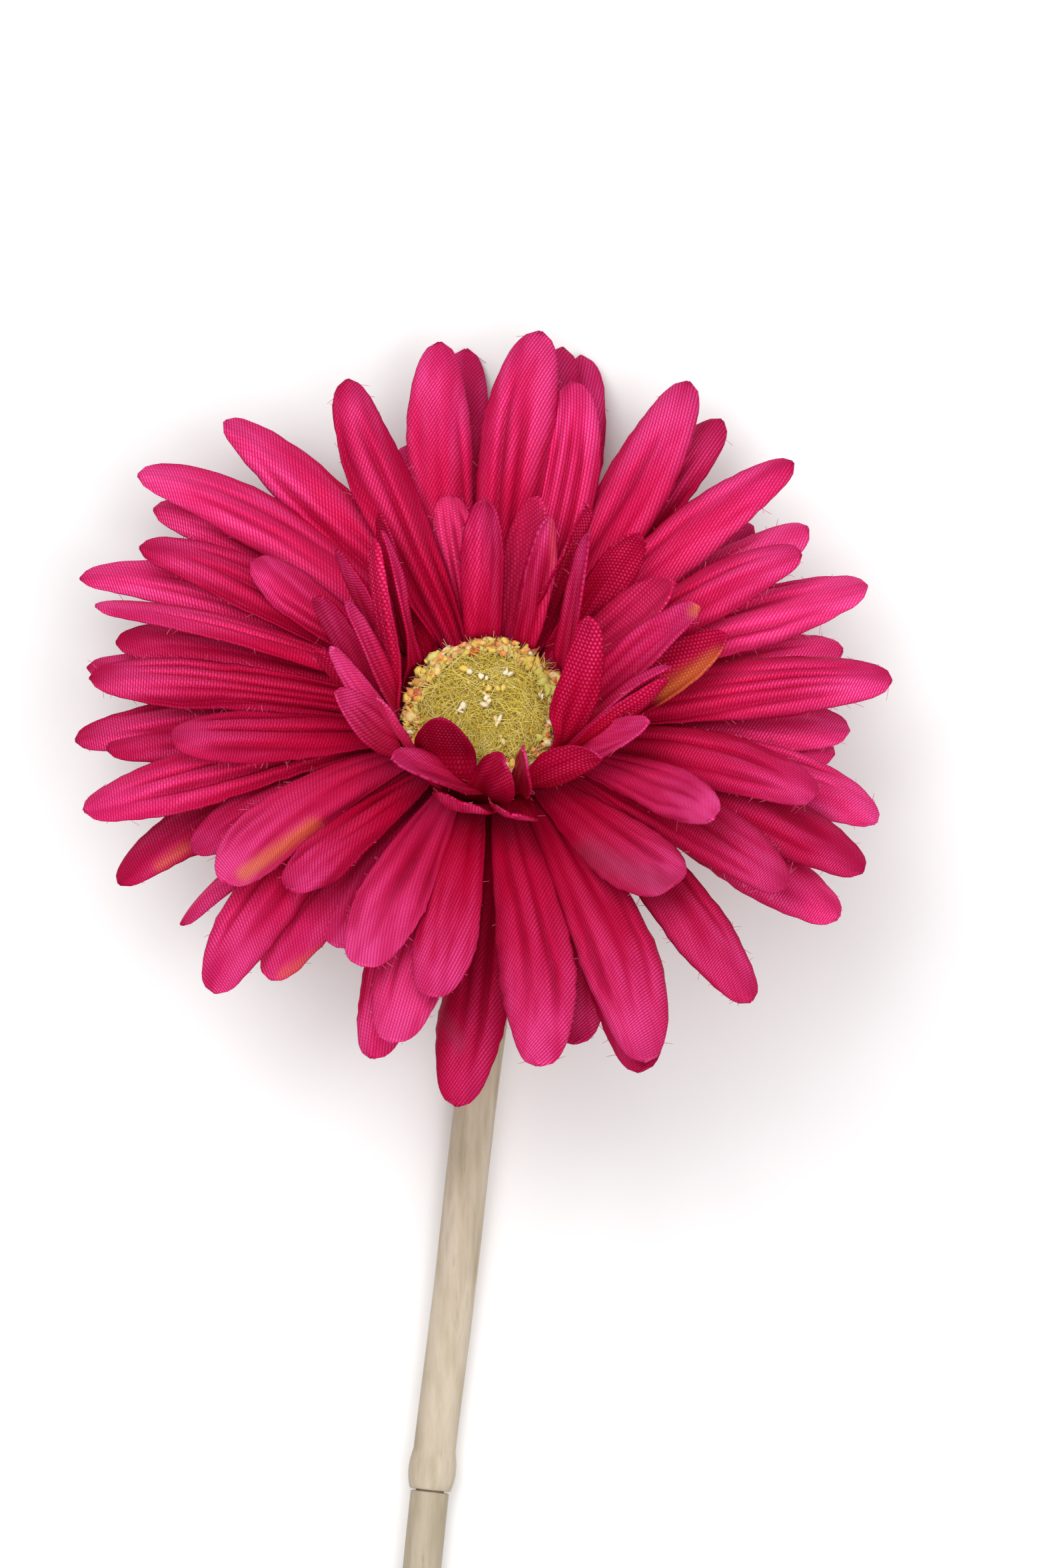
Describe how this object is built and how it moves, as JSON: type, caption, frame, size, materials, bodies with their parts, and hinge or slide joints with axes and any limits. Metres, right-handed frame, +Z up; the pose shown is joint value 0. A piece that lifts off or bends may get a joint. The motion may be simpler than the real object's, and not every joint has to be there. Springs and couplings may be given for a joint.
{
  "type": "artificial gerbera",
  "caption": "Artificial gerbera on a long stem: stacked fabric petal discs in deep pink round a flocked button, lying flat with its face up.",
  "frame": {"origin": "centre of the bounding box in plan, on the surface the flower lies on", "axes": "+Z up from the surface, +Y from the stem's cut end towards the head, +X to the right of the face seen from above"},
  "size_m": [0.11, 0.3804, 0.0647],
  "materials": {
    "petal_fabric": "stiffened satin weave, soft sheen",
    "button_flock": "matt flock tufts",
    "crumbs": "matt foam crumbs",
    "calyx_plastic": "matt moulded plastic",
    "stem_plastic": "soft matt, mottled",
    "wire": "drawn wire"
  },
  "bodies": {
    "root": {"petals_outer_lowest": "petal_fabric", "petals_outer_lower": "petal_fabric", "petals_outer_upper": "petal_fabric", "petals_outer_top": "petal_fabric", "petals_inner_cup": "petal_fabric", "button": "button_flock", "button_crumbs": "crumbs", "calyx": "calyx_plastic", "stem_upper": "stem_plastic", "stem_tail": "stem_plastic", "stem_wire": "wire"}
  },
  "joints": []
}
